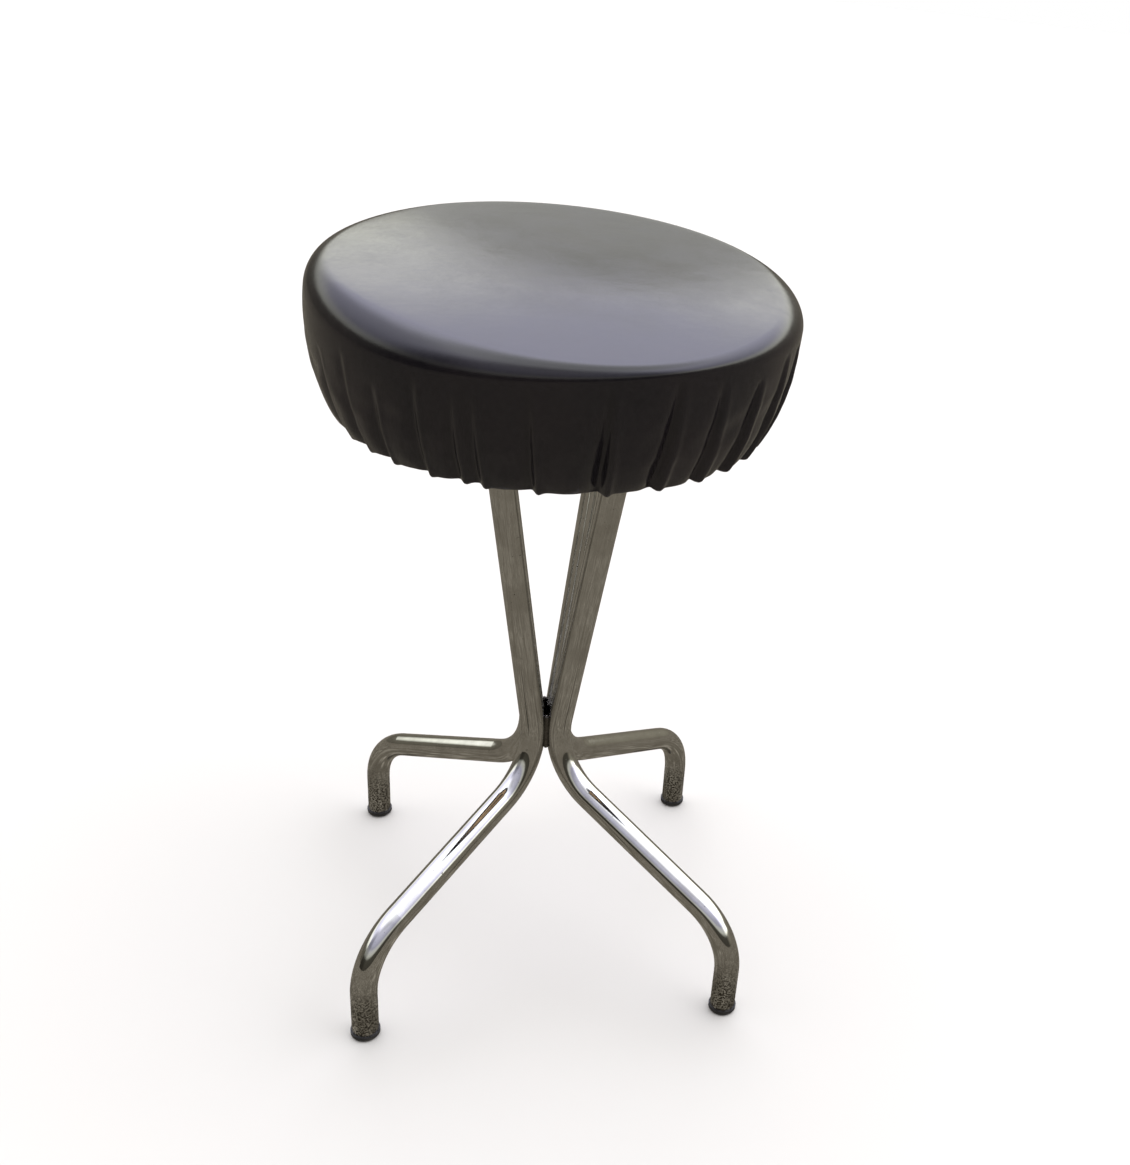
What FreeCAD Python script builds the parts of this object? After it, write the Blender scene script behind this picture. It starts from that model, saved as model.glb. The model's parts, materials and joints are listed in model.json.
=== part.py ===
"""Round padded stool on four bent chrome tubes that meet at a narrow waist.

The origin is on the stool's axis at floor level, +Z is up and the front is -Y.  Every length is in
millimetres and every angle in degrees.  Each leg is drawn in the XZ plane of its own body, and the
body is then turned about Z, so the four legs are the same bent tube.
"""

import FreeCAD, Part
import math
import os
import re

import Sketcher

DIMENSIONS = (
    # The bent tubes.
    ("tube_diameter", 25.4, "outside diameter of a leg tube"),
    ("tube_wall", 1.6, "wall of a leg tube"),
    ("bend_radius", 70.0, "centre line radius of both bends of a tube"),
    ("foot_radius", 249.5, "distance from the stool's axis to the axis of a foot"),
    ("leg_slope", 22.3, "rise of the sloping leg above the floor"),
    ("waist_height", 240.0, "height at which the four tubes are closest"),
    ("waist_gap", 0.2, "gap between neighbouring tubes at the waist"),
    ("upright_lean", 10.4, "outward lean of an upright"),
    ("leg_azimuth", 45.0, "direction of the first leg, turned from the right hand side"),
    # The glides in the ends of the feet.
    ("glide_diameter", 28.0, "diameter of the flange of a glide"),
    ("glide_flange", 6.0, "height of the flange"),
    ("glide_rounding", 3.0, "rounding under the flange"),
    ("glide_stem", 18.0, "height of the stem inside the tube"),
    ("glide_clearance", 0.1, "gap between the ribs of the stem and the tube"),
    ("glide_rib", 1.2, "how far a rib stands out from the core of the stem"),
    # The welds.
    ("waist_bead_radius", 2.4, "radius of the weld beads at the waist"),
    ("waist_bead_length", 34.0, "length of the weld beads at the waist"),
    ("plate_bead", 4.0, "leg of the fillet weld under the mounting plate"),
    # The mounting plate and its bolts.
    ("plate_width", 186.0, "side of the square mounting plate"),
    ("plate_thickness", 3.0, "thickness of the mounting plate"),
    ("plate_corner", 18.0, "rounding of the corners of the plate"),
    ("bolt_circle", 112.0, "radius of the circle that the bolts stand on"),
    ("bolt_diameter", 6.0, "shank of a bolt"),
    ("bolt_clearance", 0.5, "play of a bolt in the plate"),
    ("bolt_head_width", 10.0, "width across the flats of a bolt head"),
    ("bolt_head_height", 4.0, "height of a bolt head"),
    ("washer_diameter", 14.0, "outside diameter of a washer"),
    ("washer_thickness", 1.4, "thickness of a washer"),
    ("tee_nut_flange", 19.0, "diameter of the flange of a tee nut"),
    ("tee_nut_flange_thickness", 1.5, "thickness of that flange"),
    ("tee_nut_barrel", 8.0, "diameter of the barrel of a tee nut"),
    ("tee_nut_barrel_height", 9.0, "height of that barrel"),
    # The seat.
    ("seat_radius", 211.0, "largest radius of the covered seat"),
    ("seat_bottom", 575.0, "height of the lower face of the cover"),
    ("seat_height", 709.0, "height of the middle of the top"),
    ("seat_slope", 3.6, "how much the top falls towards the front"),
    ("widest_height", 674.0, "height at which the seat is widest"),
    ("flank_radius", 200.0, "radius of the bulging side of the seat, in half section"),
    ("seat_corner", 20.0, "rounding of the top edge of the seat"),
    ("seat_edge", 5.0, "rounding of the lower edge of the seat"),
    ("crown_radius", 3200.0, "radius of the gently domed top"),
    ("cover_thickness", 1.2, "thickness of the vinyl cover"),
    ("cover_gap", 0.2, "gap between the cover and what it covers"),
    ("hem_radius", 152.0, "inner radius of the hem stapled under the board"),
    ("board_radius", 173.0, "radius of the seat board"),
    ("board_thickness", 12.0, "thickness of the seat board"),
    # The staples in the hem.
    ("staple_count", 36.0, "number of staples round the hem"),
    ("staple_circle", 165.0, "radius of the circle of staples"),
    ("staple_width", 10.0, "width of the crown of a staple"),
    ("staple_wire", 1.0, "thickness of the wire of a staple"),
    ("staple_leg", 8.0, "length of the legs of a staple"),
)

# Lengths that follow from the driving ones.
DERIVED = (
    ("tube_radius", "tube_diameter / 2", "outside radius of a leg tube"),
    ("waist_radius", "(tube_diameter + waist_gap) / sqrt(2)", "tube axis to stool axis at the waist"),
    ("board_bottom", "seat_bottom + cover_thickness + cover_gap", "lower face of the seat board"),
    ("board_top", "board_bottom + board_thickness", "upper face of the seat board"),
    ("plate_bottom", "board_bottom - plate_thickness", "lower face of the mounting plate"),
    ("washer_bottom", "plate_bottom - washer_thickness", "lower face of the washers"),
)

ALIASES = {row[0] for row in DIMENSIONS + DERIVED}
LEG_NAMES = ("rear_right", "rear_left", "front_left", "front_right")
LEG_STEP = 90.0
BOLT_COUNT = 4
RIB_COUNT = 3
CUT_OVERRUN = 20.0
BLANK_OVERRUN = 40.0

Y_AXIS = FreeCAD.Vector(0, 1, 0)
Z_AXIS = FreeCAD.Vector(0, 0, 1)

doc = FreeCAD.newDocument("bar_stool")
sheet = doc.addObject("Spreadsheet::Sheet", "sizes")
exported = []


# ---------------------------------------------------------------- the spreadsheet


def fill_sheet():
    """Writes the driving dimensions as plain numbers and the derived ones as formulas."""
    row = 0
    for alias, value, note in DIMENSIONS + DERIVED:
        row += 1
        text = str(value) if isinstance(value, float) else "=" + value
        sheet.set(f"A{row}", alias)
        sheet.set(f"B{row}", text)
        sheet.set(f"C{row}", note)
        sheet.setAlias(f"B{row}", alias)
        # A formula is read as soon as the cells it names have their aliases.
        doc.recompute()


def size(alias):
    """The present value of a cell."""
    return float(getattr(sheet, alias))


def cells(expression):
    """Turns an expression written with bare aliases into one that names the sheet."""
    def name(match):
        word = match.group()
        return "sizes." + word if word in ALIASES else word

    return re.sub(r"[A-Za-z_]\w*", name, expression)


def value_of(expression):
    """The present value of an expression written with bare aliases."""
    return float(sheet.evalExpression(cells(expression)))


def bind(thing, **expressions):
    """Binds properties to expressions; a double underscore in a name stands for a dot."""
    for name, expression in expressions.items():
        thing.setExpression(name.replace("__", "."), cells(expression))


# ---------------------------------------------------------------- bodies and sketches


def new_body(label, azimuth=0.0, export=True):
    """A body with its own label, turned about the stool's axis."""
    body = doc.addObject("PartDesign::Body", label)
    body.Label = label
    body.Placement = FreeCAD.Placement(FreeCAD.Vector(), FreeCAD.Rotation(Z_AXIS, azimuth))
    if export:
        exported.append(body)
    return body


def origin_part(body, role):
    """One of the planes or axes of a body's own origin."""
    return next(part for part in body.Origin.OriginFeatures if part.Role == role)


def new_sketch(body, name, plane="XY_Plane", height=None, turn=None):
    """A sketch on a plane of the body's origin; its lift and its turn are expressions."""
    sketch = body.newObject("Sketcher::SketchObject", f"{body.Name}_{name}")
    sketch.AttachmentSupport = [(origin_part(body, plane), "")]
    sketch.MapMode = "FlatFace"
    if height:
        bind(sketch, AttachmentOffset__Base__z=height)
    if turn:
        bind(sketch, AttachmentOffset__Rotation__Angle=f"{turn} * 1 deg")
    return sketch


def constrain(sketch, name, kind, where, value, expression):
    """Adds a named dimension to a sketch and binds it to the sheet."""
    index = sketch.addConstraint(Sketcher.Constraint(kind, *where, value))
    sketch.renameConstraint(index, name)
    sketch.setExpression(f"Constraints.{name}", cells(expression))


def add_circle(sketch, name, radius, distance=None):
    """A circle on the sketch's X axis, at a distance from the sketch's origin."""
    along = value_of(distance) if distance else 0.0
    circle = Part.Circle(FreeCAD.Vector(along, 0, 0), Z_AXIS, value_of(radius))
    index = sketch.addGeometry(circle, False)
    constrain(sketch, name + "_radius", "Radius", (index,), value_of(radius), radius)
    if distance:
        sketch.addConstraint(Sketcher.Constraint("PointOnObject", index, 3, -1))
        constrain(sketch, name + "_place", "DistanceX", (-1, 1, index, 3), along, distance)
    else:
        sketch.addConstraint(Sketcher.Constraint("Coincident", index, 3, -1, 1))


def add_rectangle(sketch, left, bottom, width, height):
    """A rectangle placed by its lower left corner; each argument is an expression."""
    x, y = value_of(left), value_of(bottom)
    right, top = x + value_of(width), y + value_of(height)
    corners = [FreeCAD.Vector(*point, 0) for point in ((x, y), (right, y), (right, top), (x, top))]
    for index in range(4):
        sketch.addGeometry(Part.LineSegment(corners[index], corners[(index + 1) % 4]), False)
    for index in range(4):
        sketch.addConstraint(Sketcher.Constraint("Coincident", index, 2, (index + 1) % 4, 1))
        direction = "Horizontal" if index % 2 == 0 else "Vertical"
        sketch.addConstraint(Sketcher.Constraint(direction, index))
    constrain(sketch, "left", "DistanceX", (-1, 1, 0, 1), x, left)
    constrain(sketch, "bottom", "DistanceY", (-1, 1, 0, 1), y, bottom)
    constrain(sketch, "width", "DistanceX", (0, 1, 0, 2), value_of(width), width)
    constrain(sketch, "height", "DistanceY", (1, 1, 1, 2), value_of(height), height)


def add_pad(body, sketch, length, downward=False):
    """Pads a sketch by a length that is an expression."""
    pad = body.newObject("PartDesign::Pad", sketch.Name + "_pad")
    pad.Profile = sketch
    pad.Reversed = downward
    bind(pad, Length=length)
    doc.recompute()
    return pad


def add_pocket(body, sketch, length, upward=False):
    """Cuts a sketch into the body and checks that the cut took something away."""
    before = body.Shape.Volume
    pocket = body.newObject("PartDesign::Pocket", sketch.Name + "_pocket")
    pocket.Profile = sketch
    pocket.Reversed = upward
    bind(pocket, Length=length)
    doc.recompute()
    if body.Shape.Volume >= before:
        raise RuntimeError(f"{pocket.Name} cuts nothing")
    return pocket


def round_edges(body, feature, chosen, radius):
    """Rounds the edges of a feature whose bounding box passes a test."""
    edges = enumerate(feature.Shape.Edges)
    names = [f"Edge{index + 1}" for index, edge in edges if chosen(edge.BoundBox)]
    fillet = body.newObject("PartDesign::Fillet", feature.Name + "_rounded")
    fillet.Base = (feature, names)
    bind(fillet, Radius=radius)
    doc.recompute()


def repeat_round_axis(body, features, count):
    """Repeats features evenly round the stool's axis."""
    pattern = body.newObject("PartDesign::PolarPattern", body.Name + "_ring")
    pattern.Originals = features
    pattern.Axis = (origin_part(body, "Z_Axis"), [""])
    pattern.Angle = 360.0
    pattern.Occurrences = count
    body.Tip = pattern
    doc.recompute()


def make_group(label, members):
    """Separate solids that share one node."""
    group = doc.addObject("Part::Compound", label)
    group.Label = label
    group.Links = members
    exported.append(group)
    return group


def at_azimuth(thing, azimuth, local=None):
    """Places an object given in the plane of a leg at that leg's azimuth."""
    turn = FreeCAD.Placement(FreeCAD.Vector(), FreeCAD.Rotation(Z_AXIS, azimuth))
    thing.Placement = turn.multiply(local) if local else turn


def leg_azimuths():
    """The direction of each leg, from the first at the rear right."""
    return [size("leg_azimuth") + LEG_STEP * index for index in range(len(LEG_NAMES))]


# ---------------------------------------------------------------- the legs


def leg_points():
    """Start values for a leg's centre line: bend centres and tangent points, as (radius, height)."""
    bend = size("bend_radius")
    slope = math.radians(size("leg_slope"))
    lean = math.radians(size("upright_lean"))
    foot_x = size("foot_radius")
    waist = FreeCAD.Vector(size("waist_radius") + bend, size("waist_height"), 0)
    normal = FreeCAD.Vector(math.sin(slope), math.cos(slope), 0)
    rise = (2 * bend + (foot_x - bend - waist.x) * normal.x) / normal.y
    foot = FreeCAD.Vector(foot_x - bend, waist.y - rise, 0)
    upright_start = waist + FreeCAD.Vector(-math.cos(lean), math.sin(lean), 0) * bend
    top = size("plate_bottom") + CUT_OVERRUN
    upright_end = upright_start + FreeCAD.Vector(math.tan(lean), 1, 0) * (top - upright_start.y)
    return {
        "foot_start": FreeCAD.Vector(foot_x, size("glide_flange"), 0),
        "foot_end": FreeCAD.Vector(foot_x, foot.y, 0),
        "foot_centre": foot,
        "slope_start": foot + normal * bend,
        "slope_end": waist - normal * bend,
        "waist_centre": waist,
        "upright_start": upright_start,
        "upright_end": upright_end,
    }


def draw_leg_path(body):
    """The centre line: foot, foot bend, sloping leg, waist bend and upright, all tangent."""
    sketch = new_sketch(body, "path", "XZ_Plane")
    point = leg_points()
    bend = size("bend_radius")
    slope, lean = size("leg_slope"), size("upright_lean")
    foot_arc = (0.0, math.radians(90 - slope))
    waist_arc = (math.radians(180 - lean), math.radians(270 - slope))
    foot = sketch.addGeometry(Part.LineSegment(point["foot_start"], point["foot_end"]), False)
    circle = Part.Circle(point["foot_centre"], Z_AXIS, bend)
    foot_bend = sketch.addGeometry(Part.ArcOfCircle(circle, *foot_arc), False)
    leg = sketch.addGeometry(Part.LineSegment(point["slope_start"], point["slope_end"]), False)
    circle = Part.Circle(point["waist_centre"], Z_AXIS, bend)
    waist = sketch.addGeometry(Part.ArcOfCircle(circle, *waist_arc), False)
    line = Part.LineSegment(point["upright_start"], point["upright_end"])
    upright = sketch.addGeometry(line, False)

    sketch.addConstraint(Sketcher.Constraint("Vertical", foot))
    joins = ((foot, 2, foot_bend, 1), (foot_bend, 2, leg, 1), (leg, 2, waist, 2), (waist, 1, upright, 1))
    for join in joins:
        sketch.addConstraint(Sketcher.Constraint("Tangent", *join))
    start, centre, end = point["foot_start"], point["waist_centre"], point["upright_end"]
    constrain(sketch, "foot_x", "DistanceX", (-1, 1, foot, 1), start.x, "foot_radius")
    constrain(sketch, "foot_z", "DistanceY", (-1, 1, foot, 1), start.y, "glide_flange")
    constrain(sketch, "foot_bend", "Radius", (foot_bend,), bend, "bend_radius")
    constrain(sketch, "waist_bend", "Radius", (waist,), bend, "bend_radius")
    constrain(sketch, "waist_x", "DistanceX", (-1, 1, waist, 3), centre.x, "waist_radius + bend_radius")
    constrain(sketch, "waist_z", "DistanceY", (-1, 1, waist, 3), centre.y, "waist_height")
    constrain(sketch, "slope", "Angle", (leg,), math.radians(180 - slope), "180 - leg_slope")
    constrain(sketch, "lean", "Angle", (upright,), math.radians(90 - lean), "90 - upright_lean")
    top = f"plate_bottom + {CUT_OVERRUN}"
    constrain(sketch, "top_z", "DistanceY", (-1, 1, upright, 2), end.y, top)
    return sketch


def make_leg(name, azimuth):
    """One bent tube, cut level at the top where it meets the mounting plate."""
    body = new_body("leg_" + name, azimuth)
    path = draw_leg_path(body)
    section = new_sketch(body, "section", height="glide_flange")
    add_circle(section, "outside", "tube_radius", "foot_radius")
    add_circle(section, "bore", "tube_radius - tube_wall", "foot_radius")
    pipe = body.newObject("PartDesign::AdditivePipe", body.Name + "_tube")
    pipe.Profile = section
    pipe.Spine = path
    doc.recompute()
    trim = new_sketch(body, "trim", height="plate_bottom")
    half = "bolt_circle"
    add_rectangle(trim, f"0 - {half}", f"0 - {half}", f"2 * {half}", f"2 * {half}")
    add_pocket(body, trim, f"{2 * CUT_OVERRUN}", upward=True)


def make_glide(name, azimuth):
    """A moulded insert: a rounded flange under the tube and a ribbed stem inside it."""
    body = new_body("foot_glide_" + name, azimuth)
    flange = new_sketch(body, "flange")
    add_circle(flange, "flange", "glide_diameter / 2", "foot_radius")
    disc = add_pad(body, flange, "glide_flange")
    round_edges(body, disc, lambda box: box.ZMax < 0.1, "glide_rounding")
    core = new_sketch(body, "core", height="glide_flange")
    add_circle(core, "core", "tube_radius - tube_wall - glide_clearance - glide_rib", "foot_radius")
    add_pad(body, core, "glide_stem")
    for index in range(RIB_COUNT):
        height = f"glide_flange + glide_stem * {index + 1} / {RIB_COUNT} - 2 * glide_rib"
        rib = new_sketch(body, f"rib_{index + 1}", height=height)
        add_circle(rib, "rib", "tube_radius - tube_wall - glide_clearance", "foot_radius")
        add_pad(body, rib, "glide_rib")


# ---------------------------------------------------------------- the welds


def round_end(rod, end):
    """A ball at the lower (-1) or upper (1) end of a weld bead."""
    ball = doc.addObject("Part::Sphere", f"{rod.Name}_end")
    ball.Placement = rod.Placement
    bind(ball, Radius="waist_bead_radius")
    bind(ball, Placement__Base__z=f"waist_height + {end} * waist_bead_length / 2")
    return ball


def make_waist_welds():
    """Four beads, one in each outer groove between neighbouring tubes at the waist."""
    legs = {body.Label: body for body in exported}
    beads = []
    for index, azimuth in enumerate(leg_azimuths()):
        depth = FreeCAD.Vector(size("waist_radius"), 0, 0)
        rod = doc.addObject("Part::Cylinder", f"waist_bead_{index + 1}")
        bind(rod, Radius="waist_bead_radius", Height="waist_bead_length")
        at_azimuth(rod, azimuth + LEG_STEP / 2, FreeCAD.Placement(depth, FreeCAD.Rotation()))
        bind(rod, Placement__Base__z="waist_height - waist_bead_length / 2")
        bead = doc.addObject("Part::MultiFuse", f"waist_bead_{index + 1}_rounded")
        bead.Shapes = [rod] + [round_end(rod, end) for end in (-1, 1)]
        for name in (LEG_NAMES[index], LEG_NAMES[(index + 1) % len(LEG_NAMES)]):
            trimmed = doc.addObject("Part::Cut", f"{bead.Name}_off_{name}")
            trimmed.Base = bead
            trimmed.Tool = legs["leg_" + name]
            bead = trimmed
        beads.append(bead)
    make_group("waist_welds", beads)


def make_plate_welds():
    """A fillet weld round the top of each upright, under the mounting plate."""
    lean = size("upright_lean")
    welds = []
    for name, azimuth in zip(LEG_NAMES, leg_azimuths()):
        slope = math.tan(math.radians(lean))
        start = leg_points()["upright_start"]
        reach = start.x + slope * (size("plate_bottom") - start.y)
        fillet = doc.addObject("Part::Cone", "plate_fillet_" + name)
        bind(fillet, Radius1="tube_radius + plate_bead / 4", Radius2="tube_radius + plate_bead")
        bind(fillet, Height="plate_bead")
        foot = FreeCAD.Vector(reach, 0, size("plate_bottom") - size("plate_bead"))
        at_azimuth(fillet, azimuth, FreeCAD.Placement(foot, FreeCAD.Rotation()))
        tube = doc.addObject("Part::Cylinder", "plate_fillet_bore_" + name)
        bind(tube, Radius="tube_radius", Height="8 * plate_bead")
        drop = 4 * size("plate_bead")
        low = FreeCAD.Vector(reach - drop * slope, 0, size("plate_bottom") - drop)
        at_azimuth(tube, azimuth, FreeCAD.Placement(low, FreeCAD.Rotation(Y_AXIS, lean)))
        weld = doc.addObject("Part::Cut", "plate_weld_" + name)
        weld.Base = fillet
        weld.Tool = tube
        welds.append(weld)
    make_group("plate_welds", welds)


# ---------------------------------------------------------------- the plate and its fasteners


def make_plate():
    """The square steel plate that the uprights carry, with a clearance hole for each bolt."""
    body = new_body("mounting_plate")
    outline = new_sketch(body, "outline", height="plate_bottom")
    half = "plate_width / 2"
    add_rectangle(outline, f"0 - {half}", f"0 - {half}", "plate_width", "plate_width")
    blank = add_pad(body, outline, "plate_thickness")
    round_edges(body, blank, lambda box: box.ZLength > size("plate_thickness") / 2, "plate_corner")
    hole = new_sketch(body, "hole", height="plate_bottom", turn="leg_azimuth")
    add_circle(hole, "hole", "(bolt_diameter + bolt_clearance) / 2", "bolt_circle")
    pocket = add_pocket(body, hole, "plate_thickness", upward=True)
    repeat_round_axis(body, [pocket], BOLT_COUNT)


def draw_hexagon(sketch, across_flats, distance):
    """A regular hexagon round a point on the sketch's X axis, sized across its flats."""
    centre = FreeCAD.Vector(value_of(distance), 0, 0)
    corner = value_of(across_flats) / math.sqrt(3)
    turn = [math.radians(60 * index) for index in range(6)]
    corners = [centre + FreeCAD.Vector(math.cos(a), math.sin(a), 0) * corner for a in turn]
    for index in range(6):
        sketch.addGeometry(Part.LineSegment(corners[index], corners[(index + 1) % 6]), False)
    circle = sketch.addGeometry(Part.Circle(centre, Z_AXIS, corner), True)
    for index in range(6):
        sketch.addConstraint(Sketcher.Constraint("Coincident", index, 2, (index + 1) % 6, 1))
        sketch.addConstraint(Sketcher.Constraint("PointOnObject", index, 1, circle))
    for index in range(1, 6):
        sketch.addConstraint(Sketcher.Constraint("Equal", 0, index))
    sketch.addConstraint(Sketcher.Constraint("PointOnObject", circle, 3, -1))
    sketch.addConstraint(Sketcher.Constraint("PointOnObject", 0, 1, -1))
    constrain(sketch, "place", "DistanceX", (-1, 1, circle, 3), centre.x, distance)
    constrain(sketch, "corner", "Radius", (circle,), corner, f"{across_flats} / sqrt(3)")


def make_fasteners():
    """Bolts from below, their washers, and the tee nuts let into the top of the board."""
    azimuth = size("leg_azimuth")
    bolts = new_body("seat_bolts", azimuth)
    shank = new_sketch(bolts, "shank", height="washer_bottom")
    add_circle(shank, "shank", "bolt_diameter / 2", "bolt_circle")
    shank_pad = add_pad(bolts, shank, "board_top - tee_nut_flange_thickness - washer_bottom")
    head = new_sketch(bolts, "head", height="washer_bottom")
    draw_hexagon(head, "bolt_head_width", "bolt_circle")
    head_pad = add_pad(bolts, head, "bolt_head_height", downward=True)
    repeat_round_axis(bolts, [shank_pad, head_pad], BOLT_COUNT)

    washers = new_body("seat_washers", azimuth)
    disc = new_sketch(washers, "disc", height="washer_bottom")
    add_circle(disc, "rim", "washer_diameter / 2", "bolt_circle")
    add_circle(disc, "hole", "(bolt_diameter + bolt_clearance) / 2", "bolt_circle")
    repeat_round_axis(washers, [add_pad(washers, disc, "washer_thickness")], BOLT_COUNT)

    nuts = new_body("tee_nuts", azimuth)
    flange = new_sketch(nuts, "flange", height="board_top")
    add_circle(flange, "rim", "tee_nut_flange / 2", "bolt_circle")
    add_circle(flange, "bore", "bolt_diameter / 2", "bolt_circle")
    flange_pad = add_pad(nuts, flange, "tee_nut_flange_thickness", downward=True)
    barrel = new_sketch(nuts, "barrel", height="board_top - tee_nut_flange_thickness")
    add_circle(barrel, "wall", "tee_nut_barrel / 2", "bolt_circle")
    add_circle(barrel, "bore", "bolt_diameter / 2", "bolt_circle")
    barrel_pad = add_pad(nuts, barrel, "tee_nut_barrel_height", downward=True)
    repeat_round_axis(nuts, [flange_pad, barrel_pad], BOLT_COUNT)


# ---------------------------------------------------------------- the seat


def draw_side(sketch, inset):
    """Half section of the seat before its top is cut, drawn in by an inset."""
    bottom = f"seat_bottom + {inset}"
    edge, flank = f"seat_edge - {inset}", f"flank_radius - {inset}"
    floor, edge_r, flank_r = value_of(bottom), value_of(edge), value_of(flank)
    flank_c = FreeCAD.Vector(size("seat_radius") - size("flank_radius"), size("widest_height"), 0)
    peak = size("seat_height") + BLANK_OVERRUN
    drop = flank_c.y - floor - edge_r
    edge_c = flank_c + FreeCAD.Vector(math.sqrt((flank_r - edge_r) ** 2 - drop**2), -drop, 0)
    lowest = math.atan2(edge_c.y - flank_c.y, edge_c.x - flank_c.x)
    highest = math.asin((peak - flank_c.y) / flank_r)
    rim = flank_c + FreeCAD.Vector(math.cos(highest), math.sin(highest), 0) * flank_r
    start, end = FreeCAD.Vector(0, floor, 0), FreeCAD.Vector(0, peak, 0)
    edge_circle = Part.Circle(edge_c, Z_AXIS, edge_r)
    flank_circle = Part.Circle(flank_c, Z_AXIS, flank_r)
    pieces = (
        Part.LineSegment(start, FreeCAD.Vector(edge_c.x, floor, 0)),
        Part.ArcOfCircle(edge_circle, -math.pi / 2, lowest),
        Part.ArcOfCircle(flank_circle, lowest, highest),
        Part.LineSegment(rim, end),
        Part.LineSegment(end, start),
    )
    base, edge_arc, flank_arc, lid, axis = [sketch.addGeometry(piece, False) for piece in pieces]
    sketch.addConstraint(Sketcher.Constraint("Tangent", base, 2, edge_arc, 1))
    sketch.addConstraint(Sketcher.Constraint("Tangent", edge_arc, 2, flank_arc, 1))
    for first, second in ((flank_arc, lid), (lid, axis), (axis, base)):
        sketch.addConstraint(Sketcher.Constraint("Coincident", first, 2, second, 1))
    for line in (base, lid):
        sketch.addConstraint(Sketcher.Constraint("Horizontal", line))
    for line in (base, axis):
        sketch.addConstraint(Sketcher.Constraint("PointOnObject", line, 1, -2))
    widest = "seat_radius - flank_radius"
    top = f"seat_height + {BLANK_OVERRUN}"
    constrain(sketch, "floor", "DistanceY", (-1, 1, base, 1), floor, bottom)
    constrain(sketch, "edge", "Radius", (edge_arc,), edge_r, edge)
    constrain(sketch, "flank", "Radius", (flank_arc,), flank_r, flank)
    constrain(sketch, "flank_x", "DistanceX", (-1, 1, flank_arc, 3), flank_c.x, widest)
    constrain(sketch, "flank_z", "DistanceY", (-1, 1, flank_arc, 3), flank_c.y, "widest_height")
    constrain(sketch, "top", "DistanceY", (-1, 1, axis, 1), peak, top)


def draw_above_crown(sketch, inset):
    """Half section of all that is above the domed top, on the top's own axis."""
    crown, reach, lift = f"crown_radius - {inset}", "1.5 * seat_radius", f"{BLANK_OVERRUN} * 2"
    crown_r, far, high, dip = value_of(crown), value_of(reach), value_of(lift), value_of(inset)
    centre = FreeCAD.Vector(0, -dip - crown_r, 0)
    outer = math.acos(far / crown_r)
    rim = centre + FreeCAD.Vector(math.cos(outer), math.sin(outer), 0) * crown_r
    outer_top, inner_top = FreeCAD.Vector(far, high, 0), FreeCAD.Vector(0, high, 0)
    corners = (rim, outer_top, inner_top, FreeCAD.Vector(0, -dip, 0))
    circle = Part.Circle(centre, Z_AXIS, crown_r)
    dome = sketch.addGeometry(Part.ArcOfCircle(circle, outer, math.pi / 2), False)
    side, lid, axis = [
        sketch.addGeometry(Part.LineSegment(first, second), False)
        for first, second in zip(corners, corners[1:])
    ]
    sketch.addConstraint(Sketcher.Constraint("Coincident", dome, 1, side, 1))
    for first, second in ((side, lid), (lid, axis)):
        sketch.addConstraint(Sketcher.Constraint("Coincident", first, 2, second, 1))
    sketch.addConstraint(Sketcher.Constraint("Coincident", axis, 2, dome, 2))
    sketch.addConstraint(Sketcher.Constraint("Vertical", side))
    sketch.addConstraint(Sketcher.Constraint("Horizontal", lid))
    for place in ((dome, 3), (dome, 2), (axis, 1)):
        sketch.addConstraint(Sketcher.Constraint("PointOnObject", *place, -2))
    constrain(sketch, "crown", "Radius", (dome,), crown_r, crown)
    constrain(sketch, "dip", "DistanceY", (dome, 2, -1, 1), dip, inset)
    constrain(sketch, "reach", "DistanceX", (-1, 1, side, 2), far, reach)
    constrain(sketch, "lift", "DistanceY", (-1, 1, side, 2), high, lift)


def make_seat_round(name, inset):
    """The whole seat as one solid, drawn in by an inset, for cutting the pieces from."""
    body = new_body(name, export=False)
    outline = new_sketch(body, "outline", "YZ_Plane")
    draw_side(outline, inset)
    turned = body.newObject("PartDesign::Revolution", name + "_turned")
    turned.Profile = outline
    turned.ReferenceAxis = (outline, ["V_Axis"])
    turned.Angle = 360.0
    doc.recompute()
    above = new_sketch(body, "above", "YZ_Plane", turn="seat_slope")
    bind(above, AttachmentOffset__Base__y="seat_height")
    draw_above_crown(above, inset)
    doc.recompute()
    before = body.Shape.Volume
    topped = body.newObject("PartDesign::Groove", name + "_topped")
    topped.Profile = above
    topped.ReferenceAxis = (above, ["V_Axis"])
    topped.Angle = 360.0
    doc.recompute()
    if body.Shape.Volume >= before:
        raise RuntimeError(f"{topped.Name} cuts nothing")
    # Only the rim between flank and crown lies this high and is this wide.
    low, wide = size("widest_height"), size("seat_radius")
    round_edges(body, topped, lambda box: box.ZMin > low and box.XLength > wide, f"seat_corner - {inset}")
    return body


def make_slab(name, radius, bottom, height):
    """An upright cylinder on the stool's axis; each argument is an expression."""
    slab = doc.addObject("Part::Cylinder", name)
    bind(slab, Radius=radius, Height=height, Placement__Base__z=bottom)
    return slab


def combine(kind, label, base, tool, export=True):
    """A boolean of two objects."""
    result = doc.addObject("Part::" + kind, label)
    result.Label = label
    result.Base = base
    result.Tool = tool
    if export:
        exported.append(result)
    return result


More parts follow.
